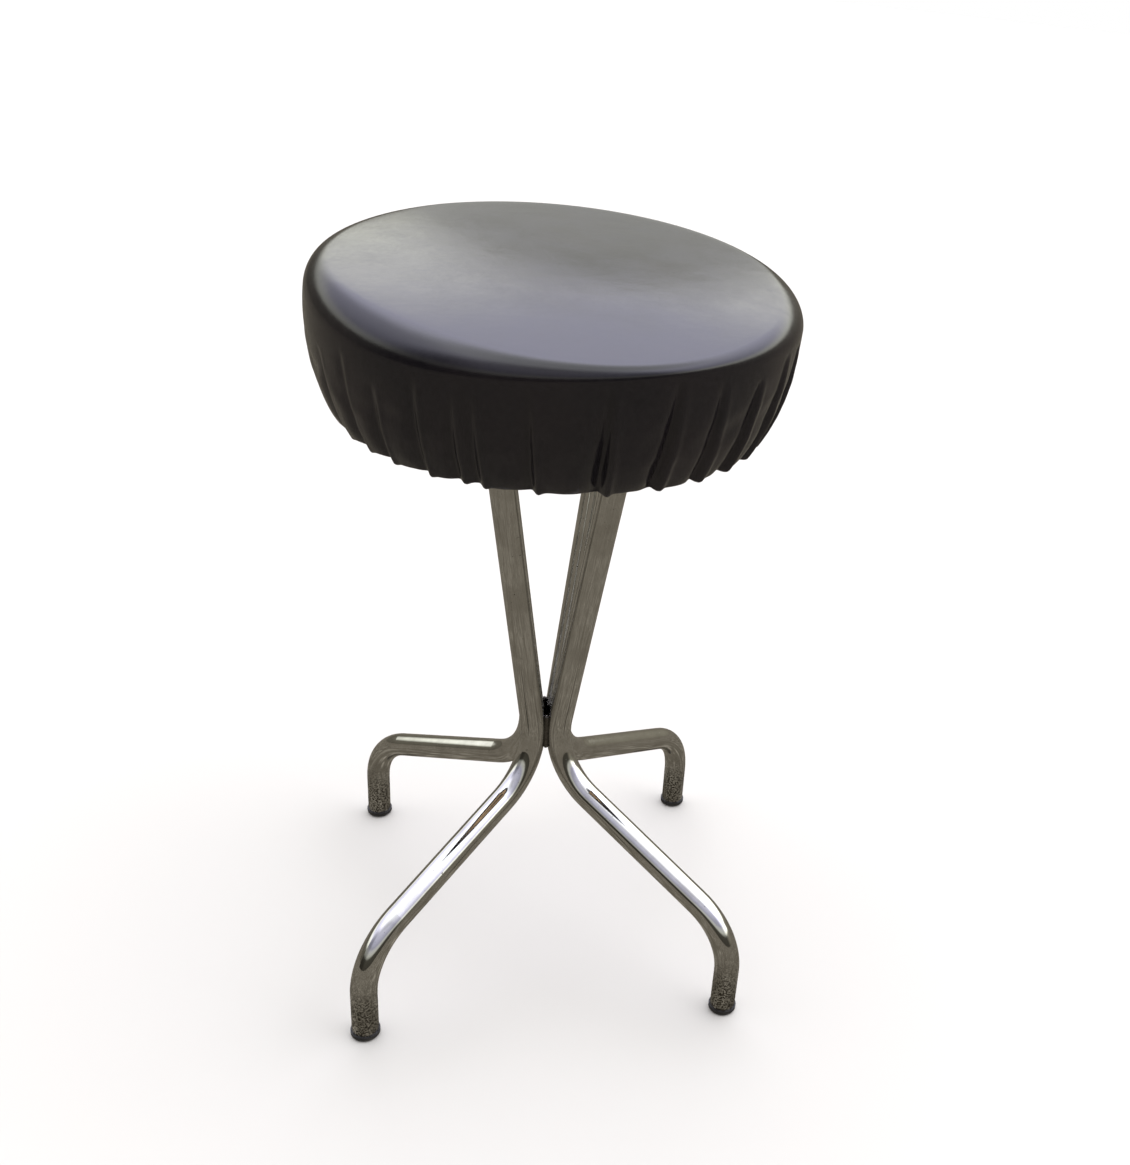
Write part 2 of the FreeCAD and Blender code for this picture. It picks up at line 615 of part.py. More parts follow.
def make_board_holes():
    """The bores for the tee nuts, each with a shallow seat for the flange."""
    bores = []
    for index in range(BOLT_COUNT):
        azimuth = size("leg_azimuth") + index * 360.0 / BOLT_COUNT
        place = FreeCAD.Placement(FreeCAD.Vector(size("bolt_circle"), 0, 0), FreeCAD.Rotation())
        barrel = doc.addObject("Part::Cylinder", f"tee_nut_bore_{index + 1}")
        seat = doc.addObject("Part::Cylinder", f"tee_nut_seat_{index + 1}")
        at_azimuth(barrel, azimuth, place)
        at_azimuth(seat, azimuth, place)
        bind(barrel, Radius="(tee_nut_barrel + bolt_clearance / 2) / 2", Height="board_thickness")
        bind(barrel, Placement__Base__z="board_bottom")
        bind(seat, Radius="(tee_nut_flange + bolt_clearance) / 2", Height="tee_nut_flange_thickness")
        bind(seat, Placement__Base__z="board_top - tee_nut_flange_thickness")
        bores += [barrel, seat]
    holes = doc.addObject("Part::MultiFuse", "board_holes")
    holes.Shapes = bores
    return holes


def make_seat():
    """Board, foam and cover; the foam and the cover come from the same seat at different insets."""
    outside = make_seat_round("seat_outside", "0")
    inside = make_seat_round("seat_inside", "cover_thickness")
    filling = make_seat_round("seat_filling", "(cover_thickness + cover_gap)")
    board_blank = make_slab("board_blank", "board_radius", "board_bottom", "board_thickness")
    combine("Cut", "seat_board", board_blank, make_board_holes())
    room_bottom, room_height = "board_bottom - cover_thickness", "board_thickness + cover_thickness"
    board_room = make_slab("board_room", "board_radius + cover_gap", room_bottom, room_height)
    combine("Cut", "foam_pad", filling, board_room)
    skin = combine("Cut", "cover_skin", outside, inside, export=False)
    mouth = make_slab("cover_mouth", "hem_radius", "seat_bottom - cover_thickness", "3 * cover_thickness")
    combine("Cut", "seat_cover", skin, mouth)


def make_staples():
    """Wire staples through the hem into the board, all the way round."""
    body = new_body("cover_staples")
    crown = new_sketch(body, "crown", height="seat_bottom")
    inner = "staple_circle - staple_wire / 2"
    half = "staple_width / 2"
    add_rectangle(crown, inner, f"0 - {half}", "staple_wire", "staple_width")
    pads = [add_pad(body, crown, "staple_wire", downward=True)]
    for name, start in (("left", f"0 - {half}"), ("right", f"{half} - staple_wire")):
        leg = new_sketch(body, name, height="seat_bottom")
        add_rectangle(leg, inner, start, "staple_wire", "staple_wire")
        pads.append(add_pad(body, leg, "staple_leg"))
    repeat_round_axis(body, pads, int(size("staple_count")))


# ---------------------------------------------------------------- checks and files


def check_document():
    """Stops if any object failed or any sub-part has no valid shape."""
    doc.recompute()
    for thing in doc.Objects:
        if "Invalid" in thing.State or "Error" in thing.State:
            raise RuntimeError(f"{thing.Label} failed: {thing.State}")
    for part in exported:
        if part.Shape.isNull() or not part.Shape.isValid() or not part.Shape.Solids:
            raise RuntimeError(f"{part.Label} has no valid solid")


def write_parts():
    """Writes one STEP file for each sub-part, named after its label."""
    os.makedirs("parts", exist_ok=True)
    for part in exported:
        part.Shape.exportStep(os.path.join("parts", part.Label + ".step"))
        box = part.Shape.BoundBox
        print(
            f"{part.Label:26s} solids {len(part.Shape.Solids):3d}  volume {part.Shape.Volume:11.1f}"
            f"  x {box.XMin:7.1f} {box.XMax:7.1f}  y {box.YMin:7.1f} {box.YMax:7.1f}"
            f"  z {box.ZMin:6.1f} {box.ZMax:6.1f}"
        )


fill_sheet()
for leg_name, leg_direction in zip(LEG_NAMES, leg_azimuths()):
    make_leg(leg_name, leg_direction)
make_waist_welds()
for leg_name, leg_direction in zip(LEG_NAMES, leg_azimuths()):
    make_glide(leg_name, leg_direction)
make_plate()
make_plate_welds()
make_fasteners()
make_seat()
make_staples()
check_document()
write_parts()
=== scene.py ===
import json
import math

import bpy
import numpy as np
from mathutils import Matrix, Vector


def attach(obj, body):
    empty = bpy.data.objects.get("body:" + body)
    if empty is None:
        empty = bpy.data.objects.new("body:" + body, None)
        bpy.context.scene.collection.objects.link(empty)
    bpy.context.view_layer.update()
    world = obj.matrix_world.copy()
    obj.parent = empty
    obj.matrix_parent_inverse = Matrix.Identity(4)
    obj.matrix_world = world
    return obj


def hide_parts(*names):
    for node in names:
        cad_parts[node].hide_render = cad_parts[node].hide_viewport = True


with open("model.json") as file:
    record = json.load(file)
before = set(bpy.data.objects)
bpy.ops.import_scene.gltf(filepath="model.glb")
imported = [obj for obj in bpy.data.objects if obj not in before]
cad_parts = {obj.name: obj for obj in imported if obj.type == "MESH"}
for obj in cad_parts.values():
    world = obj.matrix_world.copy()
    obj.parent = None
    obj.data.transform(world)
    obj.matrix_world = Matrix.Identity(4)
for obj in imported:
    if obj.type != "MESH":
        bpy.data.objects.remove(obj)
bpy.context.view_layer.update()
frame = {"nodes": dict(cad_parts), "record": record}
nodes = frame["nodes"]


# ---------------------------------------------------------------- camera

CAMERA_PLACE = (-0.0983, -1.1439, 1.0012)
CAMERA_AZIMUTH = -15.61
CAMERA_ELEVATION = 29.38
CAMERA_ROLL = 7.45
CAMERA_LENS = 40.87
CAMERA_SHIFT = (-0.1717, 0.0515)
AWAY = (math.sin(math.radians(-CAMERA_AZIMUTH)), math.cos(math.radians(-CAMERA_AZIMUTH)), 0.0)
ASIDE = (AWAY[1], -AWAY[0], 0.0)


def make_camera():
    """The camera stands at the front, a little to the left, and looks down at the seat."""
    azimuth, elevation = math.radians(CAMERA_AZIMUTH), math.radians(CAMERA_ELEVATION)
    roll = math.radians(CAMERA_ROLL)
    back = Vector((
        math.sin(azimuth) * math.cos(elevation),
        -math.cos(azimuth) * math.cos(elevation),
        math.sin(elevation),
    ))
    level_right = Vector((0, 0, 1)).cross(back).normalized()
    level_up = back.cross(level_right)
    right = math.cos(roll) * level_right + math.sin(roll) * level_up
    up = -math.sin(roll) * level_right + math.cos(roll) * level_up
    data = bpy.data.cameras.new("camera")
    data.lens = CAMERA_LENS
    data.shift_x, data.shift_y = CAMERA_SHIFT
    camera = bpy.data.objects.new("camera", data)
    camera.matrix_world = Matrix.Translation(CAMERA_PLACE) @ Matrix((right, up, back)).transposed().to_4x4()
    bpy.context.scene.collection.objects.link(camera)
    bpy.context.scene.camera = camera


# ---------------------------------------------------------------- nodes and materials


class NodeTree:
    """Adds nodes to a tree, and feeds their sockets with values or with other sockets."""

    def __init__(self, tree):
        self.tree = tree

    def add(self, kind, **inputs):
        node = self.tree.nodes.new(kind)
        for name, value in inputs.items():
            self.feed(node.inputs[name.replace("_", " ")], value)
        return node

    def feed(self, socket, value):
        if isinstance(value, bpy.types.NodeSocket):
            self.tree.links.new(value, socket)
        else:
            socket.default_value = value

    def spread(self, value, low, high, to_low=0.0, to_high=1.0):
        """Maps a range of a value smoothly onto another range."""
        node = self.add(
            "ShaderNodeMapRange",
            Value=value, From_Min=low, From_Max=high, To_Min=to_low, To_Max=to_high,
        )
        node.interpolation_type = "SMOOTHSTEP"
        return node.outputs["Result"]

    def math(self, operation, *values):
        node = self.tree.nodes.new("ShaderNodeMath")
        node.operation = operation
        for socket, value in zip(node.inputs, values):
            self.feed(socket, value)
        return node.outputs["Value"]

    def mix(self, share, first, second):
        """Mixes two colours, each of them a socket or three channels."""
        node = self.tree.nodes.new("ShaderNodeMix")
        node.data_type = "RGBA"
        self.feed(node.inputs["Factor"], share)
        for name, colour in (("A", first), ("B", second)):
            is_socket = isinstance(colour, bpy.types.NodeSocket)
            self.feed(node.inputs[name], colour if is_socket else (*colour, 1))
        return node.outputs["Result"]

    def mix_shaders(self, share, first, second):
        node = self.add("ShaderNodeMixShader", Fac=share)
        self.feed(node.inputs[1], first)
        self.feed(node.inputs[2], second)
        return node.outputs["Shader"]


class Shader(NodeTree):
    """A node material built round its Principled shader."""

    def __init__(self, name, **settings):
        self.material = bpy.data.materials.new(name)
        self.material.use_nodes = True
        super().__init__(self.material.node_tree)
        self.surface = self.tree.nodes["Principled BSDF"]
        for socket, value in settings.items():
            self.surface.inputs[socket.replace("_", " ")].default_value = value
        self.place = self.add("ShaderNodeTexCoord").outputs["Object"]

    def stretched(self, scale):
        """The place, stretched along the axes."""
        return self.add("ShaderNodeMapping", Vector=self.place, Scale=scale).outputs["Vector"]

    def noise(self, scale, detail=2.0, roughness=0.5, distortion=0.0, place=None):
        node = self.add(
            "ShaderNodeTexNoise",
            Vector=place or self.place, Scale=scale,
            Detail=detail, Roughness=roughness, Distortion=distortion,
        )
        return node.outputs["Fac"]

    def cells(self, scale):
        return self.add("ShaderNodeTexVoronoi", Vector=self.place, Scale=scale).outputs["Distance"]

    def height(self):
        """Height above the floor, in metres."""
        return self.add("ShaderNodeSeparateXYZ", Vector=self.place).outputs["Z"]

    def bump(self, height, distance, strength=1.0, under=None):
        """A normal raised by a height, over another normal if there is one under it."""
        node = self.add("ShaderNodeBump", Height=height, Distance=distance, Strength=strength)
        if under:
            self.feed(node.inputs["Normal"], under)
        return node.outputs["Normal"]

    def finish(self, colour, roughness, normal):
        for name, value in (("Base Color", colour), ("Roughness", roughness), ("Normal", normal)):
            self.feed(self.surface.inputs[name], value)
        return self.material


def vinyl_material():
    """Upholstery vinyl: nearly black brown, glossy, with a fine pressed grain and slight wear."""
    shader = Shader("vinyl", IOR=1.52)
    blotches = shader.noise(9.0, 4.0, 0.6)
    mottling = shader.noise(260.0, 3.0)
    brown = shader.mix(shader.spread(blotches, 0.35, 0.7), (0.0050, 0.0044, 0.0062), (0.0090, 0.0068, 0.0082))
    colour = shader.mix(shader.spread(mottling, 0.3, 0.75, 0.0, 0.35), brown, (0.015, 0.013, 0.0135))
    polish = shader.spread(shader.noise(22.0, 5.0, 0.62), 0.3, 0.72, 0.13, 0.20)
    roughness = shader.math("ADD", polish, shader.spread(mottling, 0.2, 0.8, -0.02, 0.03))
    pores = shader.spread(shader.cells(820.0), 0.05, 0.6, 0.0, 1.0)
    creases = shader.noise(1400.0, 2.0)
    grain = shader.bump(pores, 0.00003, 0.5)
    grain = shader.bump(creases, 0.00002, 0.4, under=grain)
    dents = shader.bump(shader.noise(38.0, 3.0), 0.0006, 0.3, under=grain)
    return shader.finish(colour, roughness, dents)


def chrome_material():
    """Chrome plate: bright, faintly hazed, with fine scratches, and pitted near the floor."""
    shader = Shader("chrome", Metallic=1.0)
    haze = shader.noise(34.0, 4.0, 0.6)
    plate = shader.mix(shader.spread(haze, 0.35, 0.7), (0.67, 0.665, 0.65), (0.56, 0.55, 0.53))
    low = shader.spread(shader.height(), 0.030, 0.085, 1.0, 0.0)
    grit = shader.noise(560.0, 3.0, 0.7)
    spots = shader.math("MULTIPLY", low, shader.spread(grit, 0.44, 0.56))
    few = shader.spread(shader.noise(480.0, 2.0), 0.70, 0.76)
    pits = shader.math("MAXIMUM", spots, few)
    colour = shader.mix(pits, plate, (0.085, 0.075, 0.06))
    smooth = shader.spread(haze, 0.3, 0.75, 0.055, 0.12)
    roughness = shader.math("ADD", smooth, shader.math("MULTIPLY", pits, 0.35))
    scratches = shader.noise(900.0, 3.0, 0.6, place=shader.stretched((1.0, 1.0, 0.05)))
    normal = shader.bump(scratches, 0.00002, 0.25)
    normal = shader.bump(shader.noise(24.0, 2.0), 0.0006, 0.25, under=normal)
    normal = shader.bump(shader.math("MULTIPLY", low, grit), 0.0004, 0.9, under=normal)
    return shader.finish(colour, roughness, normal)


def weld_material():
    """Plated weld bead with overlapping ripples."""
    shader = Shader("weld", Metallic=1.0)
    ripples = shader.noise(420.0, 2.0, 0.5, place=shader.stretched((0.4, 0.4, 1.6)))
    colour = shader.mix(shader.noise(300.0), (0.20, 0.19, 0.175), (0.09, 0.08, 0.07))
    roughness = shader.spread(ripples, 0.3, 0.7, 0.14, 0.34)
    return shader.finish(colour, roughness, shader.bump(ripples, 0.0008, 0.7))


def plastic_material():
    """Black moulded plastic, greyed and scuffed where it rubs on the floor."""
    shader = Shader("glide_plastic", IOR=1.5)
    scuffs = shader.noise(520.0, 4.0, 0.7, place=shader.stretched((1.0, 1.0, 0.25)))
    worn = shader.math("MULTIPLY", shader.spread(shader.height(), 0.0, 0.006, 1.0, 0.35), scuffs)
    colour = shader.mix(shader.spread(worn, 0.25, 0.75), (0.020, 0.019, 0.018), (0.13, 0.125, 0.115))
    roughness = shader.spread(scuffs, 0.3, 0.7, 0.38, 0.62)
    return shader.finish(colour, roughness, shader.bump(scuffs, 0.00025, 0.6))


def steel_material(name, light, dark, scale, low_rough, high_rough):
    """Rolled or zinc plated steel with drawn lines and stains."""
    shader = Shader(name, Metallic=1.0)
    stains = shader.noise(scale, 5.0, 0.65)
    lines = shader.noise(700.0, 3.0, 0.6, place=shader.stretched((0.06, 1.0, 1.0)))
    colour = shader.mix(shader.spread(stains, 0.35, 0.7), light, dark)
    roughness = shader.spread(stains, 0.3, 0.7, low_rough, high_rough)
    return shader.finish(colour, roughness, shader.bump(lines, 0.00008, 0.5))


PLY_PAIR = 0.0026


def plywood_material():
    """Birch plywood: long grain on the faces and thin plies along the edge."""
    shader = Shader("plywood", IOR=1.45)
    warp = shader.noise(5.0, 3.0, place=shader.stretched((0.25, 1.6, 1.0)))
    fibres = shader.noise(170.0, 4.0, 0.7, 0.4, place=shader.stretched((0.05, 1.0, 1.0)))
    rings = shader.noise(20.0, 3.0, 0.55, 1.4, place=shader.stretched((0.12, 1.0, 1.0)))
    ply = shader.math("SINE", shader.math("MULTIPLY", shader.height(), 2 * math.pi / PLY_PAIR))
    pale = shader.mix(shader.spread(rings, 0.38, 0.62), (0.56, 0.40, 0.24), (0.44, 0.29, 0.155))
    grained = shader.mix(shader.spread(fibres, 0.42, 0.62, 0.0, 0.45), pale, (0.30, 0.18, 0.09))
    colour = shader.mix(shader.spread(ply, -1.0, 1.0, 0.0, 0.10), grained, (0.22, 0.13, 0.07))
    colour = shader.mix(shader.spread(warp, 0.4, 0.7, 0.0, 0.25), colour, (0.60, 0.45, 0.30))
    roughness = shader.spread(fibres, 0.3, 0.7, 0.55, 0.75)
    return shader.finish(colour, roughness, shader.bump(fibres, 0.0003, 0.6))


def foam_material():
    """Open cell cushion foam, yellowed unevenly, with painted shade in its pores."""
    shader = Shader("foam", IOR=1.4)
    aged = shader.noise(16.0, 3.0)
    pores = shader.cells(900.0)
    colour = shader.mix(shader.spread(aged, 0.35, 0.7), (0.80, 0.74, 0.52), (0.66, 0.55, 0.30))
    # Painted shade: the colour darkens to brown towards the centre of each pore cell, where the bump makes
    # its pits.
    colour = shader.mix(shader.spread(pores, 0.0, 0.35, 0.5, 0.0), colour, (0.36, 0.28, 0.15))
    return shader.finish(colour, shader.spread(pores, 0.0, 0.6, 0.95, 0.8), shader.bump(pores, 0.0006, 0.8))


# ---------------------------------------------------------------- seat cover

# The section of the seat, in metres.
SEAT_RADIUS = 0.211
SEAT_BOTTOM = 0.575
SEAT_HEIGHT = 0.709
SEAT_SLOPE = math.radians(3.6)
WIDEST_HEIGHT = 0.674
EDGE_RADIUS = 0.005
FLANK_RADIUS = 0.200
CROWN_RADIUS = 3.2
CROWN_START = 0.005
HEM_RADIUS = 0.152
BOARD_TOP = 0.5884
COVER_THICKNESS = 0.0012

# The radius of the shoulder, and how much it changes towards which side, in degrees.
SHOULDER_RADIUS = 0.0190
TIGHTER, TIGHT_SIDE = 0.0100, 285.0
SLACKER_LEFT, SLACK_LEFT_SIDE = 0.0120, 225.0
SLACKER_RIGHT, SLACK_RIGHT_SIDE = 0.0070, 30.0

# The columns and rows of the grid that the cover is made on.
AROUND = 720
TOP_ROWS, SHOULDER_ROWS, FLANK_ROWS, EDGE_ROWS, HEM_ROWS = 22, 20, 44, 5, 8


def towards(azimuth, side):
    """1 towards a side given in degrees, falling to 0 a quarter turn from it and staying there."""
    return np.maximum(0.0, np.cos(azimuth - math.radians(side)))


def shoulder_radius(azimuth):
    """The shoulder is pulled tightest at the front, and is slackest to its left and at the back right."""
    tight = TIGHTER * towards(azimuth, TIGHT_SIDE) ** 3
    slack_left = SLACKER_LEFT * towards(azimuth, SLACK_LEFT_SIDE) ** 4
    slack_right = SLACKER_RIGHT * towards(azimuth, SLACK_RIGHT_SIDE)
    return SHOULDER_RADIUS - tight + slack_left + slack_right


def arc(centre, radius, first, last, count):
    """Points on an arc, without its first point."""
    angles = np.linspace(first, last, count + 1)[1:]
    return np.stack([centre[0] + radius * np.cos(angles), centre[1] + radius * np.sin(angles)], -1)


def angle_of(vector):
    return math.atan2(vector[1], vector[0])


def circles_meet(first, first_radius, second, second_radius):
    """The point where two circles meet that lies outermost from the stool's axis."""
    across = second - first
    span = np.hypot(*across)
    along = (first_radius**2 - second_radius**2 + span**2) / (2 * span)
    aside = math.sqrt(first_radius**2 - along**2)
    foot = first + across * along / span
    turned = np.array([across[1], -across[0]]) * aside / span
    return max(foot + turned, foot - turned, key=lambda point: point[0])


def seat_section(azimuth, inset):
    """Half section of the seat towards an azimuth, as (radius, height), from the top to the hem."""
    reach = CROWN_RADIUS * math.sin(SEAT_SLOPE)
    crown = np.array([reach * math.sin(azimuth), SEAT_HEIGHT - CROWN_RADIUS * math.cos(SEAT_SLOPE)])
    aside = reach * math.cos(azimuth)
    crown_r = math.sqrt((CROWN_RADIUS - inset) ** 2 - aside**2)
    flank = np.array([SEAT_RADIUS - FLANK_RADIUS, WIDEST_HEIGHT])
    rounding = shoulder_radius(azimuth)
    shoulder = circles_meet(
        crown, math.sqrt((CROWN_RADIUS - rounding) ** 2 - aside**2),
        flank, FLANK_RADIUS - rounding,
    )
    drop = WIDEST_HEIGHT - SEAT_BOTTOM - EDGE_RADIUS
    edge = flank + [math.sqrt((FLANK_RADIUS - EDGE_RADIUS) ** 2 - drop**2), -drop]
    crown_start = math.acos((CROWN_START - crown[0]) / crown_r)
    to_shoulder, to_flank = angle_of(shoulder - crown), angle_of(shoulder - flank)
    to_edge = angle_of(edge - flank)
    start = crown + crown_r * np.array([math.cos(crown_start), math.sin(crown_start)])
    hem = np.linspace(edge[0], HEM_RADIUS, HEM_ROWS + 1)[1:]
    return np.vstack([
        start,
        arc(crown, crown_r, crown_start, to_shoulder, TOP_ROWS),
        arc(shoulder, rounding - inset, to_shoulder, to_flank, SHOULDER_ROWS),
        arc(flank, FLANK_RADIUS - inset, to_flank, to_edge, FLANK_ROWS),
        arc(edge, EDGE_RADIUS - inset, to_edge, -math.pi / 2, EDGE_ROWS),
        np.stack([hem, np.full(len(hem), SEAT_BOTTOM + inset)], -1),
    ])


ANGLES = np.linspace(0, 2 * math.pi, AROUND, endpoint=False)
FLANK_START = TOP_ROWS + SHOULDER_ROWS
HEM_START = FLANK_START + FLANK_ROWS + EDGE_ROWS


def seat_grid(inset):
    """Points on the seat at an inset: rows from the top to the hem, columns round the axis."""
    sections = np.stack([seat_section(azimuth, inset) for azimuth in ANGLES], 1)
    radius, height = sections[..., 0], sections[..., 1]
    return np.stack([radius * np.cos(ANGLES), radius * np.sin(ANGLES), height], -1)


def grid_normals(points):
    """Outward normals of a grid that closes round the axis."""
    down = np.gradient(points, axis=0)
    around = np.roll(points, -1, axis=1) - np.roll(points, 1, axis=1)
    normals = np.cross(down, around)
    return normals / np.linalg.norm(normals, axis=-1, keepdims=True)


def grid_mesh(name, points, material=None):
    """A mesh of quads over a grid that closes round the axis, with a fan at its start."""
    rows, columns = points.shape[:2]
    vertices = np.vstack([points.reshape(-1, 3), points[0].mean(0)])
    centre = len(vertices) - 1
    faces = [(centre, column, (column + 1) % columns) for column in range(columns)]
    for row in range(rows - 1):
        here, below = row * columns, (row + 1) * columns
        for column in range(columns):
            following = (column + 1) % columns
            faces.append((here + column, below + column, below + following, here + following))
    mesh = bpy.data.meshes.new(name)
    mesh.from_pydata(vertices.tolist(), [], faces)
    mesh.polygons.foreach_set("use_smooth", np.ones(len(faces), bool))
    if material:
        mesh.materials.append(material)
    mesh.update()
    piece = bpy.data.objects.new(name, mesh)
    bpy.context.scene.collection.objects.link(piece)
    return piece


# The folds: azimuths in degrees, lengths in metres, and a low and a high bound for each random draw.
FRONT_FOLDS = (248.0, 261.0, 277.0, 291.0, 303.5, 315.0, 325.5, 336.0)
FOLD_SPACING = (8.5, 13.5)
FOLD_DEPTH = (0.0060, 0.0090)
FOLD_START = (0.02, 0.24)
FOLD_LEAN = (-2.5, 2.5)
FOLD_GROWTH = 0.55
SLOW_WIDTH, STEEP_WIDTH = (0.006, 0.011), (0.0016, 0.0028)
RIDGE_HEIGHT, RIDGE_PLACE, RIDGE_WIDTH = (0.20, 0.42), (0.0045, 0.0070), 0.0034
SOFT_SIDE = 205.0
NARROWEST = 0.45
HEM_DROP = 0.0018
HEM_FOLD_FADE, HEM_DROP_FADE = (0.8, 0.05), (1.0, 0.2)
COVER_LEAN = 0.0036
PANEL_BULGE = 0.0016

# The cloth simulation that fills the cover out, and how its movement is taken over.
SWELL_LIMIT = 0.0020
SWELL_FRAMES = 16
SWELL_SMOOTHING = 8
STEP = 3
FADE_ROWS = 26
HELD_WIDTH = 0.006


class Fold:
    """One pleat of the cover: where it runs, how deep it gets and how sharp it is."""

    def __init__(self, angle, rng):
        soft = towards(math.radians(angle), SOFT_SIDE) ** 2
        self.angle = angle
        self.depth = rng.uniform(*FOLD_DEPTH) * (1 - 0.5 * soft)
        self.start = rng.uniform(*FOLD_START)
        self.lean = rng.uniform(*FOLD_LEAN)
        self.slow = rng.uniform(*SLOW_WIDTH)
        self.steep = rng.uniform(*STEEP_WIDTH) * (1 + 1.2 * soft)
        self.ridge = rng.uniform(*RIDGE_HEIGHT)
        self.ridge_place = rng.uniform(*RIDGE_PLACE)

    def along(self, share, radius):
        """Distance round the seat from the fold, in metres."""
        turn = np.degrees(ANGLES)[None, :] - self.angle - self.lean * (1 - share)
        return np.radians((turn + 180.0) % 360.0 - 180.0) * radius

    def growth(self, share):
        """How much of its depth the fold has, by the share of the flank above."""
        return np.clip((share - self.start) / (1.0 - self.start), 0, 1) ** FOLD_GROWTH


def make_folds(rng):
    """The folds: those at the front in their places, the rest at random."""
    angles = list(FRONT_FOLDS)
    while angles[-1] < FRONT_FOLDS[0] + 360.0 - FOLD_SPACING[1]:
        angles.append(angles[-1] + rng.uniform(*FOLD_SPACING))
    return [Fold(angle, rng) for angle in angles]


def depth_share(points):
    """How far down the flank each point is, from 0 at the shoulder to 1 at the lower edge."""
    top_of_flank = points[FLANK_START, :, 2]
    return np.clip((top_of_flank - points[..., 2]) / (top_of_flank - SEAT_BOTTOM), 0, 1)


def gather(points, folds):
    """How far the folds pull the flank in, and how far they lift or drop the lower edge."""
    radius = np.hypot(points[..., 0], points[..., 1])
    share = depth_share(points)
    inward = np.zeros(radius.shape)
    drop = np.zeros(radius.shape)
    for fold in folds:
        along, growth = fold.along(share, radius), fold.growth(share)
        width = np.where(along < 0, fold.slow, fold.steep) * (NARROWEST + (1 - NARROWEST) * growth)
        valley = np.exp(-np.abs(along / width) ** 1.5)
        ridge = np.exp(-(((along - fold.ridge_place) / RIDGE_WIDTH) ** 2))
        inward += fold.depth * growth * (valley - fold.ridge * ridge)
        drop += HEM_DROP * growth**3 * (ridge - valley)
    return inward - PANEL_BULGE * share, drop


def fade_in(rows):
    """Rises smoothly from 0 at the shoulder to 1 over the first rows of the flank."""
    share = np.clip((np.arange(rows) - FLANK_START) / FADE_ROWS, 0, 1)
    return share**2 * (3 - 2 * share)


def swell(points, folds):
    """Lets a coarse copy of the cover blow out between its folds, and gives each point's movement."""
    radius = np.hypot(points[..., 0], points[..., 1])
    share = depth_share(points)
    held = np.repeat(1.0 - fade_in(len(points))[:, None], AROUND, axis=1)
    held[HEM_START - 1:] = 1.0
    for fold in folds:
        near = np.exp(-(fold.along(share, radius) / HELD_WIDTH) ** 2) * np.minimum(1, 3 * fold.growth(share))
        held = np.maximum(held, near)
    coarse, weights = points[::STEP, ::STEP], held[::STEP, ::STEP].ravel()
    piece = grid_mesh("settling_cover", coarse)
    group = piece.vertex_groups.new(name="held")
    for index, weight in enumerate(weights):
        group.add([index], float(weight), "REPLACE")
    group.add([len(weights)], 1.0, "REPLACE")
    cloth = piece.modifiers.new("cloth", "CLOTH")
    settings = cloth.settings
    settings.vertex_group_mass = "held"
    settings.pin_stiffness = 1.0
    settings.quality = 5
    settings.mass = 0.4
    settings.tension_stiffness = 25.0
    settings.compression_stiffness = 25.0
    settings.shear_stiffness = 10.0
    settings.bending_stiffness = 0.6
    settings.shrink_min = -0.02
    settings.use_pressure = True
    settings.uniform_pressure_force = 3.0
    settings.effector_weights.gravity = 0.0
    cloth.point_cache.frame_start = 1
    cloth.point_cache.frame_end = SWELL_FRAMES
    for frame_number in range(1, SWELL_FRAMES + 1):
        bpy.context.scene.frame_set(frame_number)
    settled = piece.evaluated_get(bpy.context.evaluated_depsgraph_get()).data
    places = np.empty(3 * len(settled.vertices))
    settled.vertices.foreach_get("co", places)
    moved = places.reshape(-1, 3)[:-1].reshape(coarse.shape) - coarse
    bpy.data.objects.remove(piece)
    bpy.context.scene.frame_set(1)
    return spread_over(moved, points.shape)


def spread_over(coarse, shape):
    """Spreads movements from the coarse grid over the fine one, smoothed and capped."""
    rows, columns = np.arange(shape[0]) / STEP, np.arange(shape[1]) / STEP
    above = np.minimum(rows.astype(int), len(coarse) - 2)
    share = (rows - above)[:, None, None]
    field = coarse[above] * (1 - share) + coarse[above + 1] * share
    before = columns.astype(int)
    share = (columns - before)[None, :, None]
    field = field[:, before] * (1 - share) + field[:, (before + 1) % coarse.shape[1]] * share
    length = np.maximum(np.linalg.norm(field, axis=-1, keepdims=True), 1e-9)
    field *= SWELL_LIMIT * np.tanh(length / SWELL_LIMIT) / length
    for _ in range(SWELL_SMOOTHING):
        field = (np.roll(field, 1, 1) + 2 * field + np.roll(field, -1, 1)) / 4
        field[1:-1] = (field[:-2] + 2 * field[1:-1] + field[2:]) / 4
    return field * fade_in(shape[0])[:, None, None]


# How much the rim is raised or pressed towards which side, and how deep the hollows inside it are.
RAISED, RAISED_SIDE = 0.0016, 70.0
PRESSED, PRESSED_SIDE = 0.0026, 290.0
HOLLOW_DEPTH = 0.0009


def sit_in(points):
    """Height changes of a cushion that has been sat in: a rim raised at the back and pressed in front."""
    x, y = points[..., 0], points[..., 1]
    reach = np.clip(np.hypot(x, y) / SEAT_RADIUS, 0, 1)
    around = np.arctan2(y, x)
    raised = towards(around, RAISED_SIDE) ** 2
    pressed = towards(around, PRESSED_SIDE) ** 2
    hollows = np.sin(19 * x + 0.6) * np.sin(15 * y - 0.9)
    return (RAISED * raised - PRESSED * pressed) * reach**3 - HOLLOW_DEPTH * hollows * (1 - reach**2)


